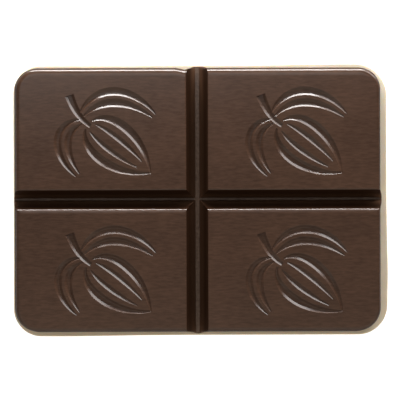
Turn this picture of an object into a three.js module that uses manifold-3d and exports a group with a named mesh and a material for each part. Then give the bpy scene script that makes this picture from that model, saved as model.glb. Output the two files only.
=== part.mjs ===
// A bar of chocolate with four moulded tablets: a dark layer that carries the tablets, the
// break grooves and an engraved cocoa pod on each tablet, cast onto a slightly larger base
// of cream-coloured chocolate. Millimetres, +Z up, patterned face up, flat underside at z = 0.
import * as THREE from 'three';
import { mergeVertices } from 'three/addons/utils/BufferGeometryUtils.js';
import Module from 'manifold-3d';

// Heights
const BASE_THICKNESS = 2.8;
const DARK_THICKNESS = 5.8;
const FACE_Z = BASE_THICKNESS + DARK_THICKNESS;

// Outlines, as half sizes about a centre, with one radius for each corner
const BASE_OUTLINE = {
  centre: [-0.1, 0],
  half: [34.0, 24.6],
  radii: { right_back: 5.7, left_back: 5.0, left_front: 5.0, right_front: 5.3 },
};
const DARK_OUTLINE = {
  centre: [-0.555, 0.0525],
  half: [33.26, 24.0175],
  radii: { right_back: 4.2, left_back: 4.35, left_front: 4.6, right_front: 4.65 },
};
const CORNER_STEPS = 8;
const STATION_MARGIN = 0.2;

// Where the cream spread a little further in the mould: the side, the place along it and the reach
const BASE_BULGES = [
  { side: [1, 0], along: -13, spread: 7, reach: 0.2 },
  { side: [0, 1], along: 25, spread: 12, reach: 0.2 },
  { side: [0, -1], along: -25, spread: 12, reach: 0.2 },
];
const BASE_STATION_GAP = 6;
const BASE_BOTTOM_RADIUS = 0.45;
const BASE_TOP_RADIUS = 0.24;
const BASE_EDGE_STEPS = 3;

// Walls of the dark layer, and the radius that rounds their upper edge on each side. Where an
// edge runs gently onto the faces, a crown of a larger radius takes over at a low slope.
const WALL_DRAFT = 0.5;
const UPPER_EDGES = [
  { side: [1, 0], round: 0.7, crown: 0 },
  { side: [0, 1], round: 1.0, crown: 3.9 },
  { side: [-1, 0], round: 1.1, crown: 0 },
  { side: [0, -1], round: 0.6, crown: 0 },
];
const CROWN_DEG = 8;
const ROUND_STEPS = 4;
const CROWN_STEPS = 2;

// Break grooves: x or y of the middle, floor width and depth, and for each flank how far from
// the middle it would meet the faces and the rounding of its lip. The high flank lies at the
// larger x or y.
const GROOVE_ALONG_Y = {
  middle: -0.58,
  floor: 0.7,
  depth: 4.9,
  high: { corner: 1.9, round: 0.3, crown: 0 },
  low: { corner: 2.0, round: 0.3, crown: 0 },
};
const GROOVE_ALONG_X = {
  middle: 0.19,
  floor: 0.36,
  depth: 4.7,
  high: { corner: 1.6, round: 0.35, crown: 0 },
  low: { corner: 1.88, round: 0.5, crown: 3.9 },
};
const GROOVE_OVERRUN = 5;
const LIP_LIFT = 0.01;
const CUTTER_CLEARANCE = 1;

// The floor of each groove runs out past the tablets' walls in a small tongue. A high
// squareness makes a tongue blunt, and a low one makes it pointed.
const TONGUES = [
  { side: [0, 1], groove: GROOVE_ALONG_Y, middle: -0.33, halfWidth: 1.25, squareness: 6, reach: 0.22 },
  { side: [0, -1], groove: GROOVE_ALONG_Y, middle: -0.45, halfWidth: 1.0, squareness: 1.5, reach: 0.34 },
  { side: [1, 0], groove: GROOVE_ALONG_X, middle: 0.13, halfWidth: 1.3, squareness: 4, reach: 0.25 },
  { side: [-1, 0], groove: GROOVE_ALONG_X, middle: 0.13, halfWidth: 1.3, squareness: 4, reach: 0.1 },
];
const TONGUE_FADE = 1.1;

// Beside the tongue at the back, the corner of one tablet is hollowed over its whole height
const CORNER_DIP = { side: [0, 1], middle: -2.9, halfWidth: 0.75, squareness: 2, reach: -0.3 };
const TONGUE_STATION_SPAN = 2.8;
const TONGUE_STATION_GAP = 0.35;
const DARK_STATION_GAP = 8;

// Engraving: the middles of the motifs, in columns and rows, and the section of the cut
const MOTIF_COLUMNS = [-17.2, 17.1];
const MOTIF_ROWS = [12.1, -12.7];
const CUT_DEPTH = 0.36;
const CUT_WALL = 0.48;
const CUT_TIP_HALF = 0.03;
const CUT_CLEARANCE = 0.4;

// The motif: a ribbed cocoa pod that hangs from a twig between two leaves
const POD = { centre: [2.7, -2.9], tiltDeg: 142, halfLength: 7.0, halfWidth: 3.6 };
// The pod's sides as a curve, in shares of its half length and half width from the twig to the tip
const POD_CURVE = [[1, 0.25], [0.8, 1.3], [-0.3, 1.3], [-1, 0]];
const POD_SIDE_WIDTH = { tip: 0.35, middle: 1.7 };
const POD_RIB_SPREAD = 0.36;
const POD_RIB_SPAN = [0.14, 0.84];
const POD_RIB_WIDTH = { tip: 0.3, middle: 1.05 };
const TWIG = {
  points: [[-2.5, 1.2], [-4.4, 2.5], [-5.3, 3.9], [-6.3, 6.7]],
  width: { start: 0.8, end: 1.7 },
};
const LEAVES = [
  { midrib: [[-4.1, 3.1], [-1.4, 7.4], [4.2, 7.6], [8.9, 3.0]], blade: 1.55 },
  { midrib: [[-4.0, 2.0], [-7.9, 1.3], [-9.0, -3.0], [-4.8, -7.6]], blade: 1.4 },
];
const LEAF_MIDRIB_GAP = 0.5;
const LEAF_TIP_WIDTH = 0.25;
const LEAF_FULLNESS = 0.8;
const POD_SIDE_STEPS = 16;
const POD_RIB_STEPS = 9;
const TWIG_STEPS = 6;
const LEAF_STEPS = 12;

const wasm = await Module();
wasm.setup();

// --- Solids and geometries -------------------------------------------------------------

function toSolid(geometry) {
  const bare = geometry.clone();
  bare.deleteAttribute('normal');
  bare.deleteAttribute('uv');
  const merged = mergeVertices(bare);
  return new wasm.Manifold(new wasm.Mesh({
    numProp: 3,
    vertProperties: new Float32Array(merged.attributes.position.array),
    triVerts: new Uint32Array(merged.index.array),
  }));
}

function toGeometry(solid) {
  const mesh = solid.getMesh();
  const geometry = new THREE.BufferGeometry();
  geometry.setAttribute('position', new THREE.BufferAttribute(mesh.vertProperties, 3));
  geometry.setIndex(new THREE.BufferAttribute(mesh.triVerts, 1));
  geometry.computeVertexNormals();
  return geometry;
}

// A closed body through rings of equally many points, with both ends closed flat. Seen from the
// end of the last ring, every ring runs counter-clockwise.
function loft(rings, capTriangles) {
  const count = rings[0].length;
  const index = [];
  for (let level = 0; level + 1 < rings.length; level++) {
    for (let i = 0; i < count; i++) {
      const next = (i + 1) % count;
      const a = level * count + i;
      const b = level * count + next;
      index.push(a, b, b + count, a, b + count, a + count);
    }
  }
  const top = (rings.length - 1) * count;
  for (const [a, b, c] of capTriangles) {
    index.push(c, b, a, top + a, top + b, top + c);
  }
  const geometry = new THREE.BufferGeometry();
  const positions = rings.flat().flatMap((point) => point.toArray());
  geometry.setAttribute('position', new THREE.Float32BufferAttribute(positions, 3));
  geometry.setIndex(index);
  return geometry;
}

// --- Outlines ---------------------------------------------------------------------------

// The rounded rectangle as stations: a place and the direction that points out of the bar.
// Extra stations lie on the straights at the given distances along each side.
function stations({ centre, half, radii }, placesOnSide) {
  const corners = [
    { sign: [1, 1], radius: radii.right_back, from: 0, straight: [0, 1] },
    { sign: [-1, 1], radius: radii.left_back, from: 90, straight: [-1, 0] },
    { sign: [-1, -1], radius: radii.left_front, from: 180, straight: [0, -1] },
    { sign: [1, -1], radius: radii.right_front, from: 270, straight: [1, 0] },
  ];
  const all = [];
  corners.forEach(({ sign, radius, from, straight }, corner) => {
    const middle = new THREE.Vector2(
      centre[0] + sign[0] * (half[0] - radius),
      centre[1] + sign[1] * (half[1] - radius),
    );
    for (let step = 0; step <= CORNER_STEPS; step++) {
      const angle = THREE.MathUtils.degToRad(from + 90 * step / CORNER_STEPS);
      const out = new THREE.Vector2(Math.cos(angle), Math.sin(angle));
      all.push({ place: middle.clone().addScaledVector(out, radius), out });
    }
    const end = all[all.length - 1].place;
    const next = corners[(corner + 1) % corners.length];
    const axis = straight[0] === 0 ? 0 : 1;
    const start = end.getComponent(axis);
    const limit = centre[axis] + next.sign[axis] * (half[axis] - next.radius);
    const sense = Math.sign(limit - start);
    placesOnSide(straight)
      .filter((place) => (place - start) * sense > STATION_MARGIN)
      .filter((place) => (limit - place) * sense > STATION_MARGIN)
      .sort((a, b) => (a - b) * sense)
      .forEach((place) => {
        all.push({ place: end.clone().setComponent(axis, place), out: new THREE.Vector2(...straight) });
      });
  });
  return all;
}

function evenPlaces(reach, gap) {
  const count = Math.round(2 * reach / gap);
  return Array.from({ length: count + 1 }, (_, i) => -reach + 2 * reach * i / count);
}

// One ring at height z, with each station moved outwards by offsetAt.
function ringAt(allStations, z, offsetAt) {
  return allStations.map((station) => {
    const moved = station.place.clone().addScaledVector(station.out, offsetAt(station));
    return new THREE.Vector3(moved.x, moved.y, z);
  });
}

// A quarter-round edge in steps from the flat face to the wall: how far each step lies inside
// the wall, and how far below the face.
function quarterRound(radius, steps) {
  return Array.from({ length: steps + 1 }, (_, step) => {
    const angle = Math.PI / 2 * step / steps;
    return { inset: radius * (1 - Math.sin(angle)), rise: radius * (1 - Math.cos(angle)) };
  });
}

function capOf(allStations) {
  return THREE.ShapeUtils.triangulateShape(allStations.map(({ place }) => place), []);
}

function alongSide(station, side) {
  return side[0] === 0 ? station.place.x : station.place.y;
}

function facesSide(station, side) {
  return Math.max(0, station.out.x * side[0] + station.out.y * side[1]);
}

// --- The cream base ---------------------------------------------------------------------

function bulgeAt(station) {
  return BASE_BULGES.reduce((sum, { side, along, spread, reach }) => {
    const distance = (alongSide(station, side) - along) / spread;
    return sum + reach * facesSide(station, side) * Math.exp(-distance * distance);
  }, 0);
}

function creamBase() {
  const [halfLength, halfWidth] = BASE_OUTLINE.half;
  const outline = stations(BASE_OUTLINE, (side) => {
    const bulges = BASE_BULGES.filter((bulge) => bulge.side.join() === side.join());
    const even = evenPlaces(side[0] === 0 ? halfLength : halfWidth, BASE_STATION_GAP);
    return [...even, ...bulges.map(({ along }) => along)];
  });
  const bottom = quarterRound(BASE_BOTTOM_RADIUS, BASE_EDGE_STEPS)
    .map(({ inset, rise }) => ({ z: rise, inset }));
  const top = quarterRound(BASE_TOP_RADIUS, BASE_EDGE_STEPS)
    .map(({ inset, rise }) => ({ z: BASE_THICKNESS - rise, inset }));
  const rings = [...bottom, ...top.reverse()].map(({ z, inset }) => (
    ringAt(outline, z, (station) => bulgeAt(station) - inset)
  ));
  return loft(rings, capOf(outline));
}

// --- The dark layer -----------------------------------------------------------------------

// How far a rise or hollow in one side moves a station of the wall outwards
function pushAt(station, { side, middle, halfWidth, squareness, reach }) {
  const distance = Math.abs(alongSide(station, side) - middle) / halfWidth;
  return reach * Math.round(facesSide(station, side)) * Math.exp(-(distance ** squareness));
}

// How far the furthest tongue and the hollow corner move a station of the wall at height z
function wallShift(station, z) {
  const tongues = TONGUES.map((tongue) => {
    const aboveFloor = Math.max(0, z - (FACE_Z - tongue.groove.depth));
    return pushAt(station, tongue) * Math.max(0, 1 - aboveFloor / TONGUE_FADE);
  });
  return Math.max(...tongues) + pushAt(station, CORNER_DIP);
}

function tongueStations(side) {
  const { middle } = side[0] === 0 ? GROOVE_ALONG_Y : GROOVE_ALONG_X;
  const near = evenPlaces(TONGUE_STATION_SPAN, TONGUE_STATION_GAP).map((place) => place + middle);
  const far = evenPlaces(Math.max(...DARK_OUTLINE.half), DARK_STATION_GAP)
    .filter((place) => Math.abs(place - middle) > TONGUE_STATION_SPAN + TONGUE_STATION_GAP);
  return [...near, ...far];
}

// The curve of a moulded edge, from where it has the slope steep to where the face begins: how
// far each point lies outside that place and below the face. All curves have equally many points.
function edgeCurve({ round, crown }, steep) {
  const gentle = crown ? THREE.MathUtils.degToRad(CROWN_DEG) : 0;
  const roundSteps = crown ? ROUND_STEPS : ROUND_STEPS + CROWN_STEPS;
  const aside = (crown - round) * Math.sin(gentle);
  const below = (crown - round) * (1 - Math.cos(gentle));
  const points = [];
  for (let step = 0; step <= roundSteps; step++) {
    const slope = steep + (gentle - steep) * step / roundSteps;
    points.push({ out: aside + round * Math.sin(slope), below: below + round * (1 - Math.cos(slope)) });
  }
  for (let step = 1; crown && step <= CROWN_STEPS; step++) {
    const slope = gentle * (1 - step / CROWN_STEPS);
    points.push({ out: crown * Math.sin(slope), below: crown * (1 - Math.cos(slope)) });
  }
  return points;
}

// A point's place on the upper edge, blended between the curves of the sides that it faces
function blendCurves(station, curves, step) {
  const blend = { out: 0, below: 0 };
  for (const { side, points } of curves) {
    const share = facesSide(station, side) ** 2;
    blend.out += share * points[step].out;
    blend.below += share * points[step].below;
  }
  return blend;
}

function darkBlock() {
  const outline = stations(DARK_OUTLINE, tongueStations);
  const slope = WALL_DRAFT / DARK_THICKNESS;
  const steep = Math.PI / 2 - Math.atan(slope);
  const curves = UPPER_EDGES.map((edge) => ({ side: edge.side, points: edgeCurve(edge, steep) }));
  const floors = [GROOVE_ALONG_Y, GROOVE_ALONG_X].map(({ depth }) => FACE_Z - depth);
  const heights = [BASE_THICKNESS, ...floors, ...floors.map((z) => z + TONGUE_FADE)];
  const wall = heights.sort((a, b) => a - b).map((z) => (
    ringAt(outline, z, (station) => wallShift(station, z) - slope * (z - BASE_THICKNESS))
  ));
  const edge = curves[0].points.map((_, step) => outline.map((station) => {
    const first = blendCurves(station, curves, 0);
    const point = blendCurves(station, curves, step);
    const wallTop = FACE_Z - first.below;
    const inset = slope * (wallTop - BASE_THICKNESS) + first.out - point.out;
    const shift = wallShift(station, wallTop) - inset;
    const place = station.place.clone().addScaledVector(station.out, shift);
    return new THREE.Vector3(place.x, place.y, FACE_Z - point.below);
  }));
  return loft([...wall, ...edge], capOf(outline));
}

// One side of a groove's section, from the floor's edge over the lip to above the face. The
// curve is lifted a little, so that its end passes the face.
function grooveSide({ corner, round, crown }, floor, depth) {
  const steep = Math.atan2(depth, corner - floor / 2);
  const curve = edgeCurve({ round, crown }, steep);
  const start = corner + curve[0].out - curve[0].below / Math.tan(steep);
  const lip = curve.map(({ out, below }) => new THREE.Vector2(start - out, LIP_LIFT - below));
  const end = new THREE.Vector2(lip[lip.length - 1].x, CUTTER_CLEARANCE);
  return [new THREE.Vector2(floor / 2, -depth), ...lip, end];
}

// A groove's cutter: its section, with the high flank on the right, run along the groove
function grooveCutter({ floor, depth, high, low }, length) {
  const right = grooveSide(high, floor, depth);
  const left = grooveSide(low, floor, depth).map(({ x, y }) => new THREE.Vector2(-x, y));
  const shape = new THREE.Shape([...right, ...left.reverse()]);
  const geometry = new THREE.ExtrudeGeometry(shape, { depth: length, bevelEnabled: false });
  geometry.translate(0, 0, -length / 2);
  return geometry.rotateX(Math.PI / 2).translate(0, 0, FACE_Z);
}

// --- The engraving ------------------------------------------------------------------------

// A stroke of the engraving: a cut with a flat floor and sloping walls along a curve. Where the
// stroke narrows, the cut gets shallower and ends in a point.
function strokeCutter(pointAt, widthAt, steps) {
  const rings = [];
  const tiny = 1e-3;
  for (let step = 0; step <= steps; step++) {
    const t = step / steps;
    const ahead = pointAt(Math.min(1, t + tiny)).sub(pointAt(Math.max(0, t - tiny))).normalize();
    const across = new THREE.Vector2(-ahead.y, ahead.x);
    const mouthHalf = widthAt(t) / 2;
    const floorHalf = Math.max(mouthHalf - CUT_WALL, CUT_TIP_HALF);
    const depth = CUT_DEPTH * (mouthHalf - floorHalf) / CUT_WALL;
    const flare = CUT_CLEARANCE * CUT_WALL / CUT_DEPTH;
    const section = [
      [mouthHalf + flare, CUT_CLEARANCE],
      [-mouthHalf - flare, CUT_CLEARANCE],
      [-floorHalf, -depth],
      [floorHalf, -depth],
    ];
    rings.push(section.map(([side, height]) => {
      const place = pointAt(t).addScaledVector(across, side);
      return new THREE.Vector3(place.x, place.y, height);
    }));
  }
  return loft(rings, [[0, 1, 2], [0, 2, 3]]);
}

// Width that swells from a thin tip to the middle and back
function swelling({ tip, middle }) {
  return (t) => tip + (middle - tip) * Math.sin(Math.PI * t);
}

function bezier(points) {
  const [a, b, c, d] = points.map((point) => new THREE.Vector2(...point));
  return new THREE.CubicBezierCurve(a, b, c, d);
}

// One long line of the pod, from the twig to the tip: spread 1 and -1 are its two sides.
function podLine(spread) {
  const { centre, tiltDeg, halfLength, halfWidth } = POD;
  const curve = bezier(POD_CURVE.map(([along, aside]) => [along * halfLength, aside * spread * halfWidth]));
  const middle = new THREE.Vector2(...centre);
  const tilt = THREE.MathUtils.degToRad(tiltDeg);
  return (t) => curve.getPoint(t).rotateAround(new THREE.Vector2(), tilt).add(middle);
}

// Half of a leaf's blade, on one side of the midrib, which is left standing between the halves.
function leafHalf({ midrib, blade }, side) {
  const curve = bezier(midrib);
  const fullness = (t) => Math.sin(Math.PI * t) ** LEAF_FULLNESS;
  const widthAt = (t) => LEAF_TIP_WIDTH + (blade - LEAF_TIP_WIDTH) * fullness(t);
  const pointAt = (t) => {
    const ahead = curve.getTangent(t);
    const across = new THREE.Vector2(-ahead.y, ahead.x);
    return curve.getPoint(t).addScaledVector(across, side * (LEAF_MIDRIB_GAP + widthAt(t)) / 2);
  };
  return strokeCutter(pointAt, widthAt, LEAF_STEPS);
}

function motifCutter() {
  const [ribStart, ribEnd] = POD_RIB_SPAN;
  const strokes = [];
  for (const side of [1, -1]) {
    const rib = podLine(side * POD_RIB_SPREAD);
    const ribPoint = (t) => rib(ribStart + (ribEnd - ribStart) * t);
    strokes.push(strokeCutter(podLine(side), swelling(POD_SIDE_WIDTH), POD_SIDE_STEPS));
    strokes.push(strokeCutter(ribPoint, swelling(POD_RIB_WIDTH), POD_RIB_STEPS));
    LEAVES.forEach((leaf) => strokes.push(leafHalf(leaf, side)));
  }
  const twig = bezier(TWIG.points);
  const twigWidth = (t) => TWIG.width.start + (TWIG.width.end - TWIG.width.start) * t;
  strokes.push(strokeCutter((t) => twig.getPoint(t), twigWidth, TWIG_STEPS));
  return strokes.map(toSolid).reduce((joined, stroke) => joined.add(stroke));
}

function darkLayer() {
  const [halfLength, halfWidth] = DARK_OUTLINE.half;
  const acrossBar = grooveCutter(GROOVE_ALONG_Y, 2 * (halfWidth + GROOVE_OVERRUN));
  const alongBar = grooveCutter(GROOVE_ALONG_X, 2 * (halfLength + GROOVE_OVERRUN)).rotateZ(Math.PI / 2);
  let solid = toSolid(darkBlock())
    .subtract(toSolid(acrossBar.translate(GROOVE_ALONG_Y.middle, 0, 0)))
    .subtract(toSolid(alongBar.translate(0, GROOVE_ALONG_X.middle, 0)));
  const motif = motifCutter();
  for (const x of MOTIF_COLUMNS) {
    for (const y of MOTIF_ROWS) {
      solid = solid.subtract(motif.translate([x, y, FACE_Z]));
    }
  }
  return toGeometry(solid);
}

// --- The bar ------------------------------------------------------------------------------

function piece(name, geometry, colour, roughness) {
  const material = new THREE.MeshStandardMaterial({ color: colour, roughness, metalness: 0 });
  const mesh = new THREE.Mesh(geometry, material);
  mesh.name = name;
  return mesh;
}

const bar = new THREE.Group();
bar.add(piece('cream_base', creamBase(), '#e6d9c1', 0.5));
bar.add(piece('dark_tablets', darkLayer(), '#4a3528', 0.35));

export default bar;
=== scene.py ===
"""A bar of dark chocolate: four moulded tablets on a base of cream-coloured chocolate.

Each sub-assembly is a class that holds its sizes in millimetres, builds its mesh inside the
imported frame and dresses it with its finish. Blender's own unit is the metre, so every mesh is
scaled by MM when it is made.
"""
import logging
import math
from collections.abc import Callable, Iterable, Sequence
from dataclasses import dataclass, field
from enum import Enum
from functools import cached_property

import bpy
from mathutils import Euler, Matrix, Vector, noise


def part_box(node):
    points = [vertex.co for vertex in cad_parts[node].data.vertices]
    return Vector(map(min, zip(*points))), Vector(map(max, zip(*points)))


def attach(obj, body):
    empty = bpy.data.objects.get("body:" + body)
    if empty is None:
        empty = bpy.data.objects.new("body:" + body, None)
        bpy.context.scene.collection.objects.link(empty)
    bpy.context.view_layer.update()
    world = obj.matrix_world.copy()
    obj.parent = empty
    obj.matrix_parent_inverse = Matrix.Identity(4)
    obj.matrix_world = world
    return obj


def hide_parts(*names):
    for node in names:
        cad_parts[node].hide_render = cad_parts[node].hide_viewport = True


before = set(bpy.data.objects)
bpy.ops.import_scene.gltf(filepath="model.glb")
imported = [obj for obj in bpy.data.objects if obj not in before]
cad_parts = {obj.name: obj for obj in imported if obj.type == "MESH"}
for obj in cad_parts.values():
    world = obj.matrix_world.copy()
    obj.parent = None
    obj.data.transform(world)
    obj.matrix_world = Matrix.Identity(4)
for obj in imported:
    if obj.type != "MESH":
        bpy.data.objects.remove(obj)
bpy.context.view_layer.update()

MM = 0.001
RIGHT_ANGLE_DEG = 90
IMAGE_SIDE_PX = 400
BODY = "root"

# The noise is zero where all three of its coordinates are whole numbers, so one is always this.
BETWEEN_ZEROS = 0.5

log = logging.getLogger("chocolate_bar")

Point = tuple[float, float]
Range = tuple[float, float]
Size = tuple[float, float, float]
Colour = tuple[float, float, float]
Ring = list[Vector]
Curve = Callable[[float], Vector]
Width = Callable[[float], float]
Piece = bpy.types.Object
Socket = bpy.types.NodeSocket
Number = Socket | float
Tint = Socket | Colour


# --- Outlines and bodies ------------------------------------------------------------------


class Side(Enum):
    """The four sides of the bar, as the direction that points out of each."""

    RIGHT = (1.0, 0.0)
    BACK = (0.0, 1.0)
    LEFT = (-1.0, 0.0)
    FRONT = (0.0, -1.0)

    @property
    def axis(self) -> int:
        """The index of the axis that runs along this side."""
        return 0 if self.value[0] == 0 else 1


PlacesOn = Callable[[Side], Iterable[float]]


class Run(Enum):
    """The direction in which a break groove runs."""

    ALONG_X = "along_x"
    ALONG_Y = "along_y"


@dataclass(frozen=True)
class Station:
    """A place on an outline, and the direction that points out of the bar there."""

    place: Vector
    out: Vector

    def along(self, side: Side) -> float:
        """The place along a side."""
        return self.place[side.axis]

    def facing(self, side: Side) -> float:
        """How far the station faces a side, from 0 to 1."""
        return max(0.0, self.out.dot(Vector(side.value)))


@dataclass(frozen=True)
class Corner:
    """A corner of a rounded rectangle, with the side that follows it anticlockwise."""

    sign: Point
    start_deg: float
    side_after: Side


CORNERS = (
    Corner((1, 1), 0, Side.BACK),
    Corner((-1, 1), 90, Side.LEFT),
    Corner((-1, -1), 180, Side.FRONT),
    Corner((1, -1), 270, Side.RIGHT),
)


@dataclass(frozen=True)
class RoundedOutline:
    """A rounded rectangle with its own radius at each corner, in the order of CORNERS.

    No station on a straight comes closer to the straight's ends than the margin.
    """

    centre: Point
    half: Point
    radii: tuple[float, float, float, float]
    corner_steps: int = 28
    margin: float = 0.1

    def stations(self, places_on: PlacesOn) -> list[Station]:
        """Walks round the outline anticlockwise.

        Args:
            places_on: gives the places along a side where its straight gets a station.

        Returns:
            The stations, from the start of the first corner's arc.
        """
        found: list[Station] = []
        for number, (corner, radius) in enumerate(zip(CORNERS, self.radii)):
            middle = Vector(
                self.centre[i] + corner.sign[i] * (self.half[i] - radius) for i in (0, 1)
            )
            for step in range(self.corner_steps + 1):
                turn_deg = RIGHT_ANGLE_DEG * step / self.corner_steps
                angle = math.radians(corner.start_deg + turn_deg)
                out = Vector((math.cos(angle), math.sin(angle)))
                found.append(Station(middle + radius * out, out))
            following = (number + 1) % len(CORNERS)
            found += self._straight(corner.side_after, found[-1].place, following, places_on)
        return found

    def _straight(
        self, side: Side, start: Vector, following: int, places_on: PlacesOn
    ) -> list[Station]:
        """Stations on the straight of one side, up to the following corner's arc.

        Args:
            side: the side that the straight lies on.
            start: where the straight begins.
            following: the number of the corner that ends it.
            places_on: as in stations.

        Returns:
            The stations in walking order, without the straight's two ends.
        """
        axis = side.axis
        reach = CORNERS[following].sign[axis] * (self.half[axis] - self.radii[following])
        limit = self.centre[axis] + reach
        sense = math.copysign(1.0, limit - start[axis])
        inside = [
            place
            for place in sorted(set(places_on(side)), key=lambda value: value * sense)
            if (place - start[axis]) * sense > self.margin
            and (limit - place) * sense > self.margin
        ]
        out = Vector(side.value)
        stations = []
        for place in inside:
            point = start.copy()
            point[axis] = place
            stations.append(Station(point, out))
        return stations


def even_places(reach: float, gap: float) -> list[float]:
    """Places about gap apart, from minus reach to reach."""
    count = max(1, round(2 * reach / gap))
    return [-reach + 2 * reach * i / count for i in range(count + 1)]


def quarter_round(radius: float, steps: int) -> list[Point]:
    """A quarter-round edge, from the flat face to the wall.

    Args:
        radius: the edge's radius.
        steps: how many facets it gets.

    Returns:
        For each step, how far it lies inside the wall and how far below the face.
    """
    angles = [math.pi / 2 * step / steps for step in range(steps + 1)]
    return [(radius * (1 - math.sin(a)), radius * (1 - math.cos(a))) for a in angles]


def moved_out(station: Station, shift: float, z: float) -> Vector:
    """The point at height z that lies outwards of a station by shift."""
    point = station.place + shift * station.out
    return Vector((point.x, point.y, z))


@dataclass(frozen=True)
class EdgeCurve:
    """The curve of a moulded edge: a tight round, and a gentle crown that runs onto the face."""

    round: float
    crown: float = 0.0
    crown_deg: float = 8.0
    round_steps: int = 9
    crown_steps: int = 4

    def points(self, steep_deg: float) -> list[Point]:
        """The curve from the place with slope steep_deg to the face.

        Args:
            steep_deg: the slope of the wall or flank that the curve starts on.

        Returns:
            For each point, how far it lies outside the place where the face begins, and how
            far below the face.
        """
        crown = math.radians(self.crown_deg) if self.crown else 0.0
        steep = math.radians(steep_deg)
        steps = self.round_steps if self.crown else self.round_steps + self.crown_steps
        slopes = [steep + (crown - steep) * i / steps for i in range(steps + 1)]
        aside = (self.crown - self.round) * math.sin(crown)
        below = (self.crown - self.round) * (1 - math.cos(crown))
        found = [
            (aside + self.round * math.sin(a), below + self.round * (1 - math.cos(a)))
            for a in slopes
        ]
        if self.crown:
            slopes = [crown * (1 - i / self.crown_steps) for i in range(1, self.crown_steps + 1)]
            found += [(self.crown * math.sin(a), self.crown * (1 - math.cos(a))) for a in slopes]
        return found

    def section(self, corner: float, steep_deg: float, lift: float) -> list[Point]:
        """The curve as the side of a cutter.

        Args:
            corner: how far from the cutter's middle its flank would meet the face.
            steep_deg: the flank's slope.
            lift: how far the end of the curve passes the face, so that it cuts it cleanly.

        Returns:
            Points across the cutter and above the face, from the flank outwards.
        """
        curve = self.points(steep_deg)
        out, below = curve[0]
        start = corner + out - below / math.tan(math.radians(steep_deg))
        return [(start - out, lift - below) for out, below in curve]


def new_object(name: str, data: bpy.types.ID) -> Piece:
    """Puts a mesh, a lamp or a camera into the scene.

    Args:
        name: the new object's name.
        data: the mesh, the lamp or the camera.

    Returns:
        The object that holds it.
    """
    piece = bpy.data.objects.new(name, data)
    bpy.context.scene.collection.objects.link(piece)
    return piece


def closed_body(name: str, rings: Sequence[Ring]) -> Piece:
    """Makes a closed body through rings of equally many points.

    Args:
        name: the new object's name.
        rings: the rings in millimetres, each anticlockwise seen from the last ring's end.

    Returns:
        The object, linked to the scene, with its mesh in metres.
    """
    count = len(rings[0])
    faces: list[list[int]] = [list(reversed(range(count)))]
    for level in range(len(rings) - 1):
        for i in range(count):
            a = level * count + i
            b = level * count + (i + 1) % count
            faces.append([a, b, b + count, a + count])
    last = (len(rings) - 1) * count
    faces.append([last + i for i in range(count)])
    mesh = bpy.data.meshes.new(name)
    mesh.from_pydata([point * MM for ring in rings for point in ring], [], faces)
    mesh.validate()
    return new_object(name, mesh)


def settle(piece: Piece) -> None:
    """Turns a piece's modifiers into its mesh.

    Args:
        piece: the piece, whose mesh is replaced.
    """
    graph = bpy.context.evaluated_depsgraph_get()
    shaped = bpy.data.meshes.new_from_object(piece.evaluated_get(graph))
    shaped.name = piece.name
    piece.modifiers.clear()
    piece.data = shaped


def carve(block: Piece, cutters: Sequence[Piece]) -> None:
    """Takes the cutters out of the block, and removes them.

    Args:
        block: the closed body to cut.
        cutters: closed bodies, which may cross each other.
    """
    tray = bpy.data.collections.new("cutters")
    bpy.context.scene.collection.children.link(tray)
    for cutter in cutters:
        tray.objects.link(cutter)
    cut = block.modifiers.new("carving", "BOOLEAN")
    cut.operation = "DIFFERENCE"
    cut.operand_type = "COLLECTION"
    cut.collection = tray
    cut.solver = "MANIFOLD"
    settle(block)
    block.data.materials.clear()
    for cutter in cutters:
        bpy.data.meshes.remove(cutter.data)
    bpy.data.collections.remove(tray)


def smooth_over(piece: Piece, sharp_deg: float) -> None:
    """Shades the piece smooth, with its flat faces flat.

    Args:
        piece: the piece to shade.
        sharp_deg: edges that turn more than this stay sharp.
    """
    piece.data.shade_smooth()
    piece.data.set_sharp_from_angle(angle=math.radians(sharp_deg))
    even = piece.modifiers.new("even_normals", "WEIGHTED_NORMAL")
    even.mode = "FACE_AREA"
    even.keep_sharp = True
    settle(piece)


def wander(place: float, size: float, seed: float) -> float:
    """Smooth unevenness from -1 to 1 along a line, with swells about size long."""
    return noise.noise(Vector((place / size, seed, BETWEEN_ZEROS)))


# --- Finishes -----------------------------------------------------------------------------


def grey(level: float) -> Colour:
    """The neutral colour of the given level."""
    return (level, level, level)


def rgba(colour: Colour) -> tuple[float, float, float, float]:
    """The colour as a socket takes it, with full cover."""
    return (*colour, 1.0)


class Axis(Enum):
    """The axes of the frame, as the sockets that carry them are named."""

    X = "X"
    Y = "Y"
    Z = "Z"


class Sum(Enum):
    """The sums that the materials need, as a Math node names them."""

    ADD = "ADD"
    SUBTRACT = "SUBTRACT"
    MULTIPLY = "MULTIPLY"
    MAXIMUM = "MAXIMUM"
    ABSOLUTE = "ABSOLUTE"


@dataclass(frozen=True)
class Grain:
    """Noise over a surface.

    The size is that of its features along x, y and z, the detail says how many finer layers it
    has, and the seed shifts the pattern.
    """

    size: Size
    detail: float
    seed: float

    @classmethod
    def even(cls, size: float, detail: float, seed: float) -> "Grain":
        """Noise whose features are as long as they are wide and high."""
        return cls((size, size, size), detail, seed)


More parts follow.
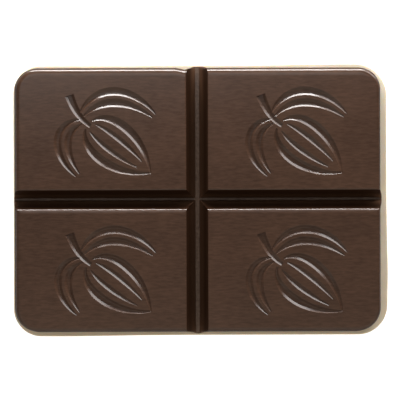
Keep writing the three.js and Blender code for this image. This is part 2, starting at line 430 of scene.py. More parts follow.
class NodeSheet:
    """Short calls that lay out the nodes of a material."""

    # The range that noise seldom leaves.
    NOISE_LOW, NOISE_HIGH = 0.3, 0.7

    # Where a Mix node takes two numbers or two colours, and where it gives the mixture.
    NUMBERS_IN, NUMBER_OUT = (2, 3), 0
    COLOURS_IN, COLOUR_OUT = (6, 7), 2

    def __init__(self, name: str) -> None:
        """Starts an empty material.

        Args:
            name: the material's name.
        """
        self.material = bpy.data.materials.new(name)
        self.material.use_nodes = True
        self.tree = self.material.node_tree
        self.tree.nodes.clear()

    def add(self, kind: str, **inputs: object) -> bpy.types.Node:
        """Adds a node.

        Args:
            kind: the node's type, without ShaderNode.
            **inputs: values for its sockets, or sockets to join to them, with an underscore
                for each space in a socket's name.

        Returns:
            The new node.
        """
        node = self.tree.nodes.new("ShaderNode" + kind)
        for name, value in inputs.items():
            self._feed(node.inputs[name.replace("_", " ")], value)
        return node

    def grain(self, grain: Grain) -> Socket:
        """Lays a grain over the surface.

        Args:
            grain: the noise to lay.

        Returns:
            The socket with its value, from 0 to 1.
        """
        places = self.add("TexCoord").outputs["Object"]
        shift = (grain.seed,) * 3
        scale = tuple(1 / (length * MM) for length in grain.size)
        laid = self.add("Mapping", Vector=places, Location=shift, Scale=scale).outputs[0]
        return self.add("TexNoise", Vector=laid, Scale=1.0, Detail=grain.detail).outputs[0]

    def spread(self, value: Socket, low: float, high: float) -> Socket:
        """Maps the range that noise seldom leaves to low and high."""
        usual = {"From_Min": self.NOISE_LOW, "From_Max": self.NOISE_HIGH}
        return self.add("MapRange", Value=value, To_Min=low, To_Max=high, **usual).outputs[0]

    def ramp(self, value: Socket, limits: Range, unit: float = 1.0) -> Socket:
        """Rises smoothly from 0 to 1 between two limits.

        Args:
            value: the value that is compared with them.
            limits: where it is still 0, and where it is 1. Either may be the larger.
            unit: the unit of the limits, which is MM for lengths.

        Returns:
            The socket with the share, from 0 to 1.
        """
        start, end = (limit * unit for limit in limits)
        node = self.add("MapRange", Value=value, From_Min=start, From_Max=end)
        node.interpolation_type = "SMOOTHSTEP"
        return node.outputs[0]

    def place(self, axis: Axis) -> Socket:
        """The place along an axis, in metres."""
        places = self.add("TexCoord").outputs["Object"]
        return self.add("SeparateXYZ", Vector=places).outputs[axis.value]

    def facing(self, axis: Axis) -> Socket:
        """How far the surface faces along an axis, from -1 to 1."""
        normal = self.add("NewGeometry").outputs["Normal"]
        return self.add("SeparateXYZ", Vector=normal).outputs[axis.value]

    def reckon(self, kind: Sum, first: Number, second: Number = 0.0) -> Socket:
        """Joins two values by a sum.

        Args:
            kind: the sum.
            first: the first value.
            second: the second value, which ABSOLUTE leaves out.

        Returns:
            The socket with the result.
        """
        node = self.add("Math")
        node.operation = kind.value
        self._feed(node.inputs[0], first)
        self._feed(node.inputs[1], second)
        return node.outputs[0]

    def away(self, value: Socket, middle: float = 0.0) -> Socket:
        """How far a value is from a middle, on either side."""
        return self.reckon(Sum.ABSOLUTE, self.reckon(Sum.SUBTRACT, value, middle))

    def mix(self, share: Socket, first: Number, second: Number) -> Socket:
        """Mixes two numbers.

        Args:
            share: how much of the second there is, from 0 to 1.
            first: the number where the share is 0.
            second: the number where it is 1.

        Returns:
            The socket with the mixture.
        """
        node = self.add("Mix", Factor=share)
        for place, value in zip(self.NUMBERS_IN, (first, second)):
            self._feed(node.inputs[place], value)
        return node.outputs[self.NUMBER_OUT]

    def blend(self, share: Socket, first: Tint, second: Tint) -> Socket:
        """Mixes two colours.

        Args:
            share: how much of the second there is, from 0 to 1.
            first: the colour where the share is 0.
            second: the colour where it is 1.

        Returns:
            The socket with the mixture.
        """
        node = self.add("Mix", Factor=share)
        node.data_type = "RGBA"
        for place, value in zip(self.COLOURS_IN, (first, second)):
            self._feed(node.inputs[place], value if isinstance(value, Socket) else rgba(value))
        return node.outputs[self.COLOUR_OUT]

    def bump(self, height: Socket, rise: float, under: Socket | None = None) -> Socket:
        """Relief too fine for the mesh.

        Args:
            height: its height, from 0 to 1.
            rise: its full rise in millimetres.
            under: the coarser relief that it lies on.

        Returns:
            The socket with the tilted normal.
        """
        node = self.add("Bump", Height=height, Distance=rise * MM, Strength=1.0)
        if under is not None:
            self._feed(node.inputs["Normal"], under)
        return node.outputs[0]

    def finish(self, shader: bpy.types.Node) -> bpy.types.Material:
        """Joins the shader to the output and hands over the material."""
        self.add("OutputMaterial", Surface=shader.outputs[0])
        return self.material

    def _feed(self, socket: Socket, value: object) -> None:
        """Gives a socket its value.

        Args:
            socket: the socket to feed.
            value: another socket to join to it, or a fixed value.
        """
        if isinstance(value, Socket):
            self.tree.links.new(value, socket)
        else:
            socket.default_value = value


@dataclass(frozen=True)
class DarkChocolateFinish:
    """Dark chocolate as it comes out of a polished mould.

    The faces are glossy, with cloudy patches and fine streaks. The walls, which rub along the
    mould, are duller. Their brown carries painted shade, darkest below their lips, and on the
    grooves' flanks painted light makes it paler towards the foot. The grooves' floors carry
    painted light, lighter in patches.

    Each range says where a change starts and where it is complete. A facing is 1 for a surface
    that looks straight along the axis, and a height is measured from the underside.
    """

    name: str = "dark_chocolate"
    deep: Colour = (0.048, 0.0230, 0.0127)
    light: Colour = (0.085, 0.0418, 0.0240)
    mottle: Grain = Grain.even(7.0, detail=4.0, seed=0.0)
    streak: Grain = Grain((1.4, 0.3, 1.0), detail=2.0, seed=5.0)
    streak_share: float = 0.6
    streak_rise: float = 0.001
    swell: Grain = Grain.even(9.0, detail=1.0, seed=11.0)
    swell_rise: float = 0.03
    roughness: Range = (0.20, 0.25)
    sheen: float = 0.58
    ior: float = 1.45
    wall_facing: Range = (0.78, 0.45)
    # Painted shade: the darker brown that the steep walls take instead of the faces' brown.
    wall_shade_colour: Colour = (0.048, 0.0220, 0.0115)
    wall_roughness: float = 0.6
    wall_sheen: float = 0.02
    # Painted shade: the darkest brown, just below the rounded lips.
    lip_shade_colour: Colour = (0.027, 0.0120, 0.0062)
    lip_heights: Range = (7.8, 6.8)
    # Painted light: the paler brown at the foot of the grooves' flanks.
    foot_light_colour: Colour = (0.100, 0.0510, 0.0290)
    foot_heights: Range = (7.0, 4.4)
    flank_reach: Range = (2.7, 2.2)
    flank_facing: Range = (0.25, 0.5)
    floor_heights: Range = (4.6, 4.1)
    floor_facing: Range = (0.15, 0.6)
    floor_patch: Grain = Grain.even(0.6, detail=1.0, seed=17.0)
    floor_share: Range = (0.45, 1.0)
    # Painted light: the colour of the lighter patches on the grooves' floors.
    floor_light_colour: Colour = (0.15, 0.093, 0.062)

    def material(self, groove_middles: Point) -> bpy.types.Material:
        """Lays out the nodes of the finish.

        Args:
            groove_middles: the x of the groove along y, and the y of the groove along x.

        Returns:
            The material.
        """
        sheet = NodeSheet(self.name)
        streak = sheet.grain(self.streak)
        swell = sheet.bump(sheet.grain(self.swell), self.swell_rise)
        wall = sheet.ramp(sheet.facing(Axis.Z), self.wall_facing)
        # The walls take painted shade and painted light in place of the faces' brown.
        wall_shade_and_light = self._wall_shade_and_light(sheet, groove_middles)
        brown = sheet.blend(wall, self._face_brown(sheet, streak), wall_shade_and_light)
        shader = sheet.add(
            "BsdfPrincipled",
            # The grooves' floors get painted light.
            Base_Color=sheet.blend(self._painted_floor_light(sheet), brown, self.floor_light_colour),
            Roughness=sheet.mix(wall, sheet.spread(streak, *self.roughness), self.wall_roughness),
            Specular_IOR_Level=sheet.mix(wall, self.sheen, self.wall_sheen),
            IOR=self.ior,
            Normal=sheet.bump(streak, self.streak_rise, swell),
        )
        return sheet.finish(shader)

    def _face_brown(self, sheet: NodeSheet, streak: Socket) -> Socket:
        """The brown of the faces, with its cloudy patches and fine streaks.

        Args:
            sheet: the sheet that the nodes are laid out on.
            streak: the streaks, from 0 to 1.

        Returns:
            The socket with the colour.
        """
        mottle = sheet.spread(sheet.grain(self.mottle), 0.0, 1.0 - self.streak_share)
        fine = sheet.spread(streak, 0.0, self.streak_share)
        return sheet.blend(sheet.reckon(Sum.ADD, mottle, fine), self.deep, self.light)

    def _wall_shade_and_light(self, sheet: NodeSheet, groove_middles: Point) -> Socket:
        """Painted shade on the walls and flanks, with painted light at the flanks' foot.

        Args:
            sheet: the sheet that the nodes are laid out on.
            groove_middles: as in material.

        Returns:
            The socket with the colour.
        """
        height = sheet.place(Axis.Z)
        # On the outer walls, painted shade that is darkest below the lips.
        below_lip = sheet.ramp(height, self.lip_heights, MM)
        outside = sheet.blend(below_lip, self.lip_shade_colour, self.wall_shade_colour)
        # On the flanks, painted shade below the lips turns to painted light at the foot.
        at_foot = sheet.ramp(height, self.foot_heights, MM)
        inside = sheet.blend(at_foot, self.lip_shade_colour, self.foot_light_colour)
        flanks = [
            self._flank_share(sheet, axis, middle)
            for axis, middle in zip((Axis.X, Axis.Y), groove_middles)
        ]
        return sheet.blend(sheet.reckon(Sum.MAXIMUM, *flanks), outside, inside)

    def _flank_share(self, sheet: NodeSheet, axis: Axis, middle: float) -> Socket:
        """Finds the flanks of one groove, by how near they are and how far they face it.

        Args:
            sheet: the sheet that the nodes are laid out on.
            axis: the axis that crosses the groove.
            middle: the groove's place on that axis.

        Returns:
            The socket that is 1 on the flanks and 0 elsewhere.
        """
        near = sheet.ramp(sheet.away(sheet.place(axis), middle * MM), self.flank_reach, MM)
        turned = sheet.ramp(sheet.away(sheet.facing(axis)), self.flank_facing)
        return sheet.reckon(Sum.MULTIPLY, near, turned)

    def _painted_floor_light(self, sheet: NodeSheet) -> Socket:
        """Where painted light lies: low in the grooves, facing up, in patches.

        Args:
            sheet: the sheet that the nodes are laid out on.

        Returns:
            The socket with how much painted light there is, from 0 to 1.
        """
        low = sheet.ramp(sheet.place(Axis.Z), self.floor_heights, MM)
        level = sheet.ramp(sheet.facing(Axis.Z), self.floor_facing)
        patch = sheet.spread(sheet.grain(self.floor_patch), *self.floor_share)
        return sheet.reckon(Sum.MULTIPLY, sheet.reckon(Sum.MULTIPLY, low, level), patch)


@dataclass(frozen=True)
class CreamChocolateFinish:
    """Cream-coloured chocolate, softer and waxier than the dark.

    Light sinks into it as deep as soft_depth, and reaches further in red than in blue.
    """

    name: str = "cream_chocolate"
    deep: Colour = (0.79, 0.69, 0.525)
    light: Colour = (0.87, 0.775, 0.615)
    mottle: Grain = Grain.even(4.0, detail=3.0, seed=23.0)
    fine: Grain = Grain.even(0.4, detail=2.0, seed=29.0)
    fine_rise: float = 0.01
    roughness: Range = (0.42, 0.55)
    ior: float = 1.46
    softness: float = 0.5
    soft_reach: Colour = (1.0, 0.75, 0.45)
    soft_depth: float = 0.4

    def material(self) -> bpy.types.Material:
        """Lays out the nodes of the finish.

        Returns:
            The material.
        """
        sheet = NodeSheet(self.name)
        mottle = sheet.spread(sheet.grain(self.mottle), 0.0, 1.0)
        fine = sheet.grain(self.fine)
        shader = sheet.add(
            "BsdfPrincipled",
            Base_Color=sheet.blend(mottle, self.deep, self.light),
            Roughness=sheet.spread(fine, *self.roughness),
            IOR=self.ior,
            Subsurface_Weight=self.softness,
            Subsurface_Radius=self.soft_reach,
            Subsurface_Scale=self.soft_depth * MM,
            Normal=sheet.bump(fine, self.fine_rise),
        )
        return sheet.finish(shader)


@dataclass(frozen=True)
class PaperFinish:
    """The white paper that the bar lies on, lit from below as well."""

    name: str = "white_paper"
    deep: Colour = grey(0.86)
    light: Colour = grey(0.92)
    fibre: Grain = Grain.even(0.6, detail=2.0, seed=31.0)
    roughness: float = 0.9
    glow: float = 0.8
    glow_colour: Colour = grey(1.0)

    def material(self) -> bpy.types.Material:
        """Lays out the nodes of the finish.

        Returns:
            The material.
        """
        sheet = NodeSheet(self.name)
        fibre = sheet.spread(sheet.grain(self.fibre), 0.0, 1.0)
        shader = sheet.add(
            "BsdfPrincipled",
            Base_Color=sheet.blend(fibre, self.deep, self.light),
            Roughness=self.roughness,
            Emission_Color=rgba(self.glow_colour),
            Emission_Strength=self.glow,
        )
        return sheet.finish(shader)


# --- The cream base -----------------------------------------------------------------------


@dataclass(frozen=True)
class Bulge:
    """A place where the cream spread a little further in the mould."""

    side: Side
    along: float
    spread: float
    reach: float

    def at(self, station: Station) -> float:
        """How far it pushes a station outwards."""
        distance = (station.along(self.side) - self.along) / self.spread
        return self.reach * station.facing(self.side) * math.exp(-distance * distance)


@dataclass
class CreamBase:
    """The cream-coloured layer that carries the tablets and shows as a pale rim."""

    node: str = "cream_base"
    slot: str = "cream_chocolate"
    outline: RoundedOutline = RoundedOutline(
        centre=(-0.1, 0.0), half=(34.0, 24.6), radii=(5.7, 5.0, 5.0, 5.3)
    )
    bulges: tuple[Bulge, ...] = (
        Bulge(Side.RIGHT, along=-13.0, spread=7.0, reach=0.2),
        Bulge(Side.BACK, along=25.0, spread=12.0, reach=0.2),
        Bulge(Side.FRONT, along=-25.0, spread=12.0, reach=0.2),
    )
    station_gap: float = 1.0
    bottom_radius: float = 0.45
    top_radius: float = 0.24
    edge_steps: int = 8
    sharp_deg: float = 50.0
    finish: CreamChocolateFinish = field(default_factory=CreamChocolateFinish)

    @cached_property
    def thickness(self) -> float:
        """The base's thickness, as packed."""
        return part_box(self.node)[1].z / MM

    def build(self) -> Piece:
        """Makes the base's mesh.

        Returns:
            The base, without its finish.
        """
        stations = self.outline.stations(self._places_on)
        rise = quarter_round(self.bottom_radius, self.edge_steps)
        fall = quarter_round(self.top_radius, self.edge_steps)
        levels = [(below, inset) for inset, below in rise]
        levels += [(self.thickness - below, inset) for inset, below in reversed(fall)]
        rings = [
            [moved_out(station, self._bulge_at(station) - inset, z) for station in stations]
            for z, inset in levels
        ]
        piece = closed_body("cream_layer", rings)
        smooth_over(piece, self.sharp_deg)
        return piece

    def dress(self, piece: Piece) -> None:
        """Gives the base its finish and its place in the frame.

        Args:
            piece: the base's mesh.
        """
        piece.data.materials.append(self.finish.material())
        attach(piece, BODY)
        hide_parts(self.node)

    def _bulge_at(self, station: Station) -> float:
        """How far all bulges push a station outwards."""
        return sum(bulge.at(station) for bulge in self.bulges)

    def _places_on(self, side: Side) -> list[float]:
        """Even places along a side, and the top of each bulge on it."""
        peaks = [bulge.along for bulge in self.bulges if bulge.side is side]
        return even_places(self.outline.half[side.axis], self.station_gap) + peaks


# --- The dark layer -----------------------------------------------------------------------


@dataclass(frozen=True)
class Groove:
    """A break groove: a narrow floor, sloping flanks and lips that curve onto the tablets.

    The corner is how far from the groove's middle a flank would meet the faces. The high side
    is the one with the larger x or y.
    """

    run: Run
    middle: float
    high_corner: float
    low_corner: float
    high_lip: EdgeCurve
    low_lip: EdgeCurve
    floor: float
    depth: float
    length: float
    floor_wander: float
    seed: float
    lift: float = 0.002
    clearance: float = 1.0
    ring_gap: float = 0.35
    wander_size: float = 1.1

    def section(self, floor: float) -> list[Point]:
        """The groove's section for one width of its floor.

        Args:
            floor: the width of the floor there.

        Returns:
            Points across the groove and above the face, anticlockwise from the floor.
        """
        high = self._side(self.high_corner, self.high_lip, floor)
        low = self._side(self.low_corner, self.low_lip, floor)
        return high + [(-across, height) for across, height in reversed(low)]

    def cutter(self, face: float) -> Piece:
        """Makes the body that cuts the groove.

        Args:
            face: the height of the tablets' faces.

        Returns:
            The cutter, in its place.
        """
        rings = []
        for place in even_places(self.length / 2, self.ring_gap):
            floor = self.floor + self.floor_wander * wander(place, self.wander_size, self.seed)
            section = self.section(floor)
            if self.run is Run.ALONG_Y:
                section.reverse()
            rings.append([self._point(place, aside, face + height) for aside, height in section])
        return closed_body(f"groove_{self.run.value}", rings)

    def _side(self, corner: float, lip: EdgeCurve, floor: float) -> list[Point]:
        """One side of the section, from the floor's edge to above the face.

        Args:
            corner: how far from the middle the flank would meet the face.
            lip: the curve between them.
            floor: the width of the floor.

        Returns:
            Points across the groove and above the face.
        """
        steep_deg = math.degrees(math.atan2(self.depth, corner - self.floor / 2))
        curve = lip.section(corner, steep_deg, self.lift)
        return [(floor / 2, -self.depth), *curve, (curve[-1][0], self.clearance)]

    def _point(self, place: float, aside: float, z: float) -> Vector:
        """A point of the cutter.

        Args:
            place: how far along the groove it lies.
            aside: how far across the groove.
            z: its height.

        Returns:
            The point in the frame.
        """
        if self.run is Run.ALONG_X:
            return Vector((place, self.middle + aside, z))
        return Vector((self.middle + aside, place, z))


@dataclass(frozen=True)
class Tongue:
    """The end of a groove's floor, which runs out past the tablets' walls.

    A high squareness makes it blunt, and a low one makes it pointed.
    """

    side: Side
    groove: Groove
    middle: float
    half_width: float
    squareness: float
    reach: float
    fade: float = 1.1

    def at(self, station: Station, depth: float) -> float:
        """How far it pushes the wall outwards.

        Args:
            station: the place on the outline.
            depth: how far below the tablets' faces it is asked for.

        Returns:
            The push in millimetres.
        """
        distance = abs(station.along(self.side) - self.middle) / self.half_width
        above_floor = max(0.0, self.groove.depth - depth)
        fade = max(0.0, 1 - above_floor / self.fade)
        facing = round(station.facing(self.side))
        return self.reach * facing * fade * math.exp(-(distance**self.squareness))


@dataclass(frozen=True)
class CutSection:
    """The section of an engraved stroke: a flat floor, sloping walls and soft edges."""

    depth: float = 0.36
    wall: float = 0.48
    lip: float = 0.18
    fillet: float = 0.15
    tip: float = 0.03
    steps: int = 5
    lift: float = 0.003
    clearance: float = 0.4

    def points(self, mouth_half: float) -> list[Point]:
        """The section of a stroke of one width. A narrow stroke's is smaller all round.

        Args:
            mouth_half: half the stroke's width.

        Returns:
            Points across the stroke and above the face, anticlockwise from the floor.
        """
        slope = math.atan2(self.depth, self.wall)
        needed = self.wall + self.fillet * math.tan(slope / 2) + self.tip
        scale = min(1.0, mouth_half / needed)
        fillet = self.fillet * scale
        floor_end = mouth_half - self.wall * scale - fillet * math.tan(slope / 2)
        angles = [slope * step / self.steps for step in range(self.steps + 1)]
        side = [
            (floor_end + fillet * math.sin(a), fillet * (1 - math.cos(a)) - self.depth * scale)
            for a in angles
        ]
        lip = EdgeCurve(self.lip * scale, round_steps=self.steps)
        side += lip.section(mouth_half, math.degrees(slope), self.lift)
        side.append((side[-1][0], self.clearance))
        return side + [(-aside, height) for aside, height in reversed(side)]


@dataclass(frozen=True)
class Stroke:
    """A stroke of the engraving: a curve, with a width at each place on it."""

    name: str
    point_at: Curve
    width_at: Width
    steps: int

    def cutter(self, section: CutSection, place: Vector) -> Piece:
        """Makes the body that cuts the stroke.

        Args:
            section: the section of the cut.
            place: the middle of the motif, on the tablet's face.

        Returns:
            The cutter, in its place.
        """
        rings = []
        for step in range(self.steps + 1):
            t = step / self.steps
            across_way = across(self.point_at, t)
            middle = self.point_at(t)
            ring = []
            for side, height in section.points(self.width_at(t) / 2):
                point = middle - side * across_way
                ring.append(place + Vector((point.x, point.y, height)))
            rings.append(list(reversed(ring)))
        return closed_body(self.name, rings)


def across(point_at: Curve, t: float) -> Vector:
    """The direction square to a curve.

    Args:
        point_at: the curve.
        t: the place on it, from 0 to 1.

    Returns:
        The direction to the curve's left, of length 1.
    """
    tiny = 1e-3
    ahead = (point_at(min(1.0, t + tiny)) - point_at(max(0.0, t - tiny))).normalized()
    return Vector((-ahead.y, ahead.x))


def bezier(points: Sequence[Point]) -> Curve:
    """A cubic curve.

    Args:
        points: its four control points.

    Returns:
        The curve, which gives a point for each t from 0 to 1.
    """
    a, b, c, d = (Vector(point) for point in points)

    def point_at(t: float) -> Vector:
        """The point at t."""
        s = 1 - t
        return s * s * s * a + 3 * s * s * t * b + 3 * s * t * t * c + t * t * t * d

    return point_at


def swelling(tip: float, middle: float, fullness: float = 1.0) -> Width:
    """A width that swells from a thin tip to the middle and back."""
    return lambda t: tip + (middle - tip) * max(0.0, math.sin(math.pi * t)) ** fullness


def widening(start: float, end: float) -> Width:
    """A width that grows evenly from start to end."""
    return lambda t: start + (end - start) * t


@dataclass(frozen=True)
class Leaf:
    """A leaf of the motif: the control points of its midrib and the width of half its blade."""

    midrib: tuple[Point, Point, Point, Point]
    blade: float


@dataclass(frozen=True)
class CocoaPodMotif:
    """A ribbed cocoa pod that hangs from a twig between two leaves.

    The pod's long lines start beside its axis at the stalk, by pod_stalk of their width, and
    swell between the two pod_shoulders, which are shares of its half length.
    """

    pod_centre: Point = (2.7, -2.9)
    pod_tilt_deg: float = 142.0
    pod_half_length: float = 7.0
    pod_half_width: float = 3.6
    pod_stalk: float = 0.25
    pod_shoulders: Range = (0.8, -0.3)
    pod_fullness: float = 1.3
    side_width: Range = (0.35, 1.7)
    rib_spread: float = 0.36
    rib_span: Range = (0.14, 0.84)
    rib_width: Range = (0.3, 1.05)
    twig: tuple[Point, ...] = ((-2.5, 1.2), (-4.4, 2.5), (-5.3, 3.9), (-6.3, 6.7))
    twig_width: Range = (0.8, 1.7)
    leaves: tuple[Leaf, ...] = (
        Leaf(midrib=((-4.1, 3.1), (-1.4, 7.4), (4.2, 7.6), (8.9, 3.0)), blade=1.55),
        Leaf(midrib=((-4.0, 2.0), (-7.9, 1.3), (-9.0, -3.0), (-4.8, -7.6)), blade=1.4),
    )
    midrib_gap: float = 0.5
    leaf_tip: float = 0.25
    leaf_fullness: float = 0.8
    steps: int = 40

    def strokes(self) -> list[Stroke]:
        """All strokes of the motif, about its own middle.

        Returns:
            The strokes of the pod, the leaves and the twig.
        """
        strokes = []
        for side in (1, -1):
            strokes += self._pod_half(side)
            strokes += [self._leaf_half(leaf, side) for leaf in self.leaves]
        twig = Stroke("twig", bezier(self.twig), widening(*self.twig_width), self.steps // 2)
        return [*strokes, twig]

    def _pod_half(self, side: int) -> list[Stroke]:
        """One half of the pod.

        Args:
            side: 1 for the one half, and -1 for the other.

        Returns:
            The strokes of its side and of the rib within.
        """
        rib = self._pod_line(side * self.rib_spread)
        start, end = self.rib_span

        def rib_at(t: float) -> Vector:
            """The point at t, on the part of the rib's line that is cut."""
            return rib(start + (end - start) * t)

        return [
            Stroke("pod_side", self._pod_line(side), swelling(*self.side_width), self.steps),
            Stroke("pod_rib", rib_at, swelling(*self.rib_width), self.steps // 2),
        ]

    def _pod_line(self, spread: float) -> Curve:
        """One long line of the pod, from the twig to the tip.

        Args:
            spread: how far it is from the pod's axis to the side, which is 1 or -1.

        Returns:
            The line, in the tablet's plane.
        """
        length, width = self.pod_half_length, self.pod_half_width * spread
        stalk = (length, self.pod_stalk * width)
        shoulders = [(share * length, self.pod_fullness * width) for share in self.pod_shoulders]
        line = bezier((stalk, *shoulders, (-length, 0.0)))
        tilt = math.radians(self.pod_tilt_deg)
        along_way = Vector((math.cos(tilt), math.sin(tilt)))
        aside_way = Vector((-math.sin(tilt), math.cos(tilt)))

        def point_at(t: float) -> Vector:
            """The point at t."""
            along, aside = line(t)
            return Vector(self.pod_centre) + along * along_way + aside * aside_way

        return point_at

    def _leaf_half(self, leaf: Leaf, side: int) -> Stroke:
        """Half a leaf's blade. The midrib stands between the halves.

        Args:
            leaf: the leaf.
            side: 1 for the half to the left of the midrib, and -1 for the other.

        Returns:
            The stroke.
        """
        midrib = bezier(leaf.midrib)
        width_at = swelling(self.leaf_tip, leaf.blade, self.leaf_fullness)

        def point_at(t: float) -> Vector:
            """The middle of the half blade at t."""
            return midrib(t) + side * (self.midrib_gap + width_at(t)) / 2 * across(midrib, t)

        return Stroke("leaf", point_at, width_at, self.steps)


@dataclass
class DarkTablets:
    """The dark layer: four tablets that share their floor, with grooves and engraving."""

    node: str = "dark_tablets"
    slot: str = "dark_chocolate"
    outline: RoundedOutline = RoundedOutline(
        centre=(-0.555, 0.0525), half=(33.26, 24.0175), radii=(4.2, 4.35, 4.6, 4.65)
    )
    draft: float = 0.5
    edges: tuple[tuple[Side, EdgeCurve], ...] = (
        (Side.RIGHT, EdgeCurve(round=0.7)),
        (Side.BACK, EdgeCurve(round=1.0, crown=3.9)),
        (Side.LEFT, EdgeCurve(round=1.1)),
        (Side.FRONT, EdgeCurve(round=0.6)),
    )
    wall_gap: float = 0.5
    station_gap: float = 1.0
    tongue_span: float = 2.8
    tongue_gap: float = 0.1
    groove_y: Groove = Groove(
        run=Run.ALONG_Y,
        middle=-0.58,
        high_corner=1.9,
        low_corner=2.0,
        high_lip=EdgeCurve(round=0.3),
        low_lip=EdgeCurve(round=0.3),
        floor=0.7,
        depth=4.9,
        length=58.0,
        floor_wander=0.06,
        seed=3.0,
    )
    groove_x: Groove = Groove(
        run=Run.ALONG_X,
        middle=0.19,
        high_corner=1.6,
        low_corner=1.88,
        high_lip=EdgeCurve(round=0.35),
        low_lip=EdgeCurve(round=0.5, crown=3.9),
        floor=0.36,
        depth=4.7,
        length=77.0,
        floor_wander=0.16,
        seed=8.0,
    )
    motif: CocoaPodMotif = CocoaPodMotif()
    section: CutSection = CutSection()
    motif_columns: Point = (-17.2, 17.1)
    motif_rows: Point = (12.1, -12.7)
    sharp_deg: float = 32.0
    finish: DarkChocolateFinish = field(default_factory=DarkChocolateFinish)

    @cached_property
    def foot(self) -> float:
        """The height of the layer's underside, as packed."""
        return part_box(self.node)[0].z / MM

    @cached_property
    def face(self) -> float:
        """The height of the tablets' faces, as packed."""
        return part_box(self.node)[1].z / MM

    @cached_property
    def dip(self) -> Tongue:
        """Where the back left tablet's wall turns in beside the groove, over its whole height.

        Returns:
            A tongue that goes inwards and doesn't fade.
        """
        return Tongue(
            Side.BACK,
            self.groove_y,
            middle=-2.9,
            half_width=0.75,
            squareness=2.0,
            reach=-0.3,
            fade=math.inf,
        )

    @cached_property
    def tongues(self) -> tuple[Tongue, ...]:
        """The ends of the grooves' floors.

        Returns:
            One tongue for each side.
        """
        return (
            Tongue(Side.BACK, self.groove_y, -0.33, half_width=1.25, squareness=6.0, reach=0.22),
            Tongue(Side.FRONT, self.groove_y, -0.45, half_width=1.0, squareness=1.5, reach=0.34),
            Tongue(Side.RIGHT, self.groove_x, 0.13, half_width=1.3, squareness=4.0, reach=0.25),
            Tongue(Side.LEFT, self.groove_x, 0.13, half_width=1.3, squareness=4.0, reach=0.1),
        )

    def build(self) -> Piece:
        """Makes the layer's mesh: the block, then the grooves and the engraving.

        Returns:
            The layer, without its finish.
        """
        piece = self._block()
        cutters = [groove.cutter(self.face) for groove in (self.groove_y, self.groove_x)]
        for x in self.motif_columns:
            for y in self.motif_rows:
                place = Vector((x, y, self.face))
                cutters += [stroke.cutter(self.section, place) for stroke in self.motif.strokes()]
        carve(piece, cutters)
        smooth_over(piece, self.sharp_deg)
        return piece

    def dress(self, piece: Piece) -> None:
        """Gives the layer its finish and its place in the frame.

        Args:
            piece: the layer's mesh.
        """
        middles = (self.groove_y.middle, self.groove_x.middle)
        piece.data.materials.append(self.finish.material(middles))
        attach(piece, BODY)
        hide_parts(self.node)

    def _block(self) -> Piece:
        """The layer before it is cut: drafted walls, tongues and rounded upper edges.

        Returns:
            The closed body.
        """
        stations = self.outline.stations(self._places_on)
        slope = self.draft / (self.face - self.foot)
        steep_deg = RIGHT_ANGLE_DEG - math.degrees(math.atan(slope))
        curves = {side: curve.points(steep_deg) for side, curve in self.edges}
        wall_top = self.face - max(curve[0][1] for curve in curves.values())
        count = round((wall_top - self.foot) / self.wall_gap)
        rings = []
        for i in range(count):
            z = self.foot + (wall_top - self.foot) * i / count
            inset = slope * (z - self.foot)
            rings.append([moved_out(one, self._wall_shift(one, z) - inset, z) for one in stations])
        for step in range(len(curves[Side.BACK])):
            rings.append([self._edge_point(station, curves, step, slope) for station in stations])
        return closed_body("dark_layer", rings)

    def _edge_point(
        self, station: Station, curves: dict[Side, list[Point]], step: int, slope: float
    ) -> Vector:
        """A point of the rounded upper edge, blended between the sides that it faces.

        Args:
            station: the place on the outline.
            curves: each side's curve.
            step: the point's number on the curves.
            slope: how far the wall leans in for each millimetre of height.

        Returns:
            The point.
        """
        shares = [(station.facing(side) ** 2, curve) for side, curve in curves.items()]

        def mixed(number: int) -> Iterable[float]:
            """The sides' points with one number, mixed by how far the station faces each side."""
            return (sum(share * curve[number][i] for share, curve in shares) for i in (0, 1))

        first_out, first_below = mixed(0)
        out, below = mixed(step)
        wall_top = self.face - first_below
        inset = slope * (wall_top - self.foot) + first_out - out
        return moved_out(station, self._wall_shift(station, wall_top) - inset, self.face - below)

    def _wall_shift(self, station: Station, z: float) -> float:
        """How far the wall is moved outwards.

        Args:
            station: the place on the outline.
            z: the height.

        Returns:
            The push of the furthest tongue and of the dip, in millimetres.
        """
        depth = self.face - z
        furthest = max(tongue.at(station, depth) for tongue in self.tongues)
        return furthest + self.dip.at(station, depth)

    def _places_on(self, side: Side) -> list[float]:
        """Places along a side, close together at the groove's end and even elsewhere.

        Args:
            side: the side.

        Returns:
            The places, in no order.
        """
        middle = next(one for one in self.tongues if one.side is side).groove.middle
        near = [middle + place for place in even_places(self.tongue_span, self.tongue_gap)]
        even = even_places(self.outline.half[side.axis], self.station_gap)
        clear = self.tongue_span + self.station_gap / 2
        return near + [place for place in even if abs(place - middle) > clear]


# --- The studio ---------------------------------------------------------------------------


@dataclass(frozen=True)
class Tabletop:
    """The sheet of white paper under the bar, a hair below its underside."""

    half: float = 700.0
    level: float = -0.02
    finish: PaperFinish = PaperFinish()

    def build(self) -> Piece:
        """Lays the paper.

        Returns:
            The paper.
        """
        mesh = bpy.data.meshes.new("paper")
        reach, level = self.half * MM, self.level * MM
        corners = [(-reach, -reach), (reach, -reach), (reach, reach), (-reach, reach)]
        mesh.from_pydata([(x, y, level) for x, y in corners], [], [(0, 1, 2, 3)])
        mesh.materials.append(self.finish.material())
        paper = new_object("paper", mesh)
        return paper


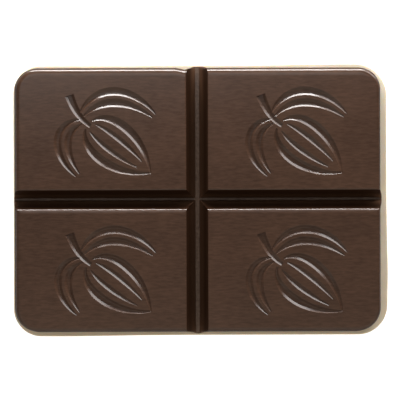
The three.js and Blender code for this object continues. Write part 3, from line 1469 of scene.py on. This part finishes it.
@dataclass(frozen=True)
class Softbox:
    """A soft rectangular lamp that faces the bar.

    Its azimuth is measured from the x axis, and its elevation and distance from the bar. Its
    light is how bright it alone makes white paper that lies flat in the bar's place, where 1 is
    full white.
    """

    name: str
    azimuth_deg: float
    elevation_deg: float
    distance: float
    size: Point
    light: float
    colour: Colour = grey(1.0)

    def build(self) -> Piece:
        """Hangs the lamp and turns it to the bar.

        Returns:
            The lamp.
        """
        around, up = math.radians(self.azimuth_deg), math.radians(self.elevation_deg)
        lamp = bpy.data.lights.new(self.name, "AREA")
        lamp.shape = "RECTANGLE"
        lamp.size = self.size[0] * MM
        lamp.size_y = self.size[1] * MM
        lamp.energy = self.light * (math.pi * self.distance * MM) ** 2 / math.sin(up)
        lamp.color = self.colour
        flat = math.cos(up)
        way = Vector((flat * math.cos(around), flat * math.sin(around), math.sin(up)))
        holder = new_object(self.name, lamp)
        holder.location = way * self.distance * MM
        holder.rotation_euler = way.to_track_quat("Z", "Y").to_euler()
        return holder


@dataclass(frozen=True)
class CopyStand:
    """The camera, straight above the bar.

    In the square render, scale_px is how many pixels a millimetre takes at scale_height above
    the paper, and centre_px is where the middle of the frame falls.
    """

    height: float = 360.0
    scale_px: float = 5.471
    scale_height: float = 1.5
    centre_px: Point = (200.65, 200.0)
    turn_deg: float = -0.17
    sensor: float = 36.0

    def build(self) -> Piece:
        """Hangs the camera and makes it the scene's own.

        Returns:
            The camera.
        """
        depth = self.height - self.scale_height
        camera = bpy.data.cameras.new("copy_camera")
        camera.sensor_width = self.sensor
        camera.lens = self.scale_px * self.sensor * depth / IMAGE_SIDE_PX
        x = (IMAGE_SIDE_PX / 2 - self.centre_px[0]) / self.scale_px
        y = (self.centre_px[1] - IMAGE_SIDE_PX / 2) / self.scale_px
        holder = new_object("copy_camera", camera)
        holder.location = Vector((x, y, self.height)) * MM
        holder.rotation_euler = Euler((0.0, 0.0, math.radians(self.turn_deg)))
        bpy.context.scene.camera = holder
        return holder


@dataclass
class Studio:
    """The paper, the lamps, the dim room round them and the camera."""

    room: float = 0.17
    tabletop: Tabletop = Tabletop()
    lamps: tuple[Softbox, ...] = (
        Softbox("low_window", 92.0, 12.0, distance=170.0, size=(150.0, 24.0), light=0.45),
        Softbox("side_window", 50.0, 22.0, distance=260.0, size=(130.0, 90.0), light=0.16),
        Softbox("back_panel", 100.0, 67.0, distance=170.0, size=(130.0, 70.0), light=0.125),
        Softbox(
            "front_card",
            268.0,
            52.0,
            distance=235.0,
            size=(480.0, 250.0),
            light=0.34,
            colour=(1.0, 0.9, 0.75),
        ),
    )
    stand: CopyStand = CopyStand()

    def build(self) -> None:
        """Sets the whole studio up."""
        self.tabletop.build()
        for lamp in self.lamps:
            lamp.build()
        self.stand.build()
        world = bpy.data.worlds.new("room")
        world.use_nodes = True
        walls = world.node_tree.nodes["Background"]
        walls.inputs["Color"].default_value = rgba(grey(self.room))
        bpy.context.scene.world = world
        bpy.context.scene.view_settings.view_transform = "Standard"


def main() -> None:
    """Builds and dresses the bar, then sets up the studio round it."""
    logging.basicConfig(level=logging.INFO, format="%(name)s: %(message)s")
    for part in (CreamBase(), DarkTablets()):
        piece = part.build()
        part.dress(piece)
        log.info("%s has %d faces", piece.name, len(piece.data.polygons))
    Studio().build()


if __name__ == "__main__":
    main()
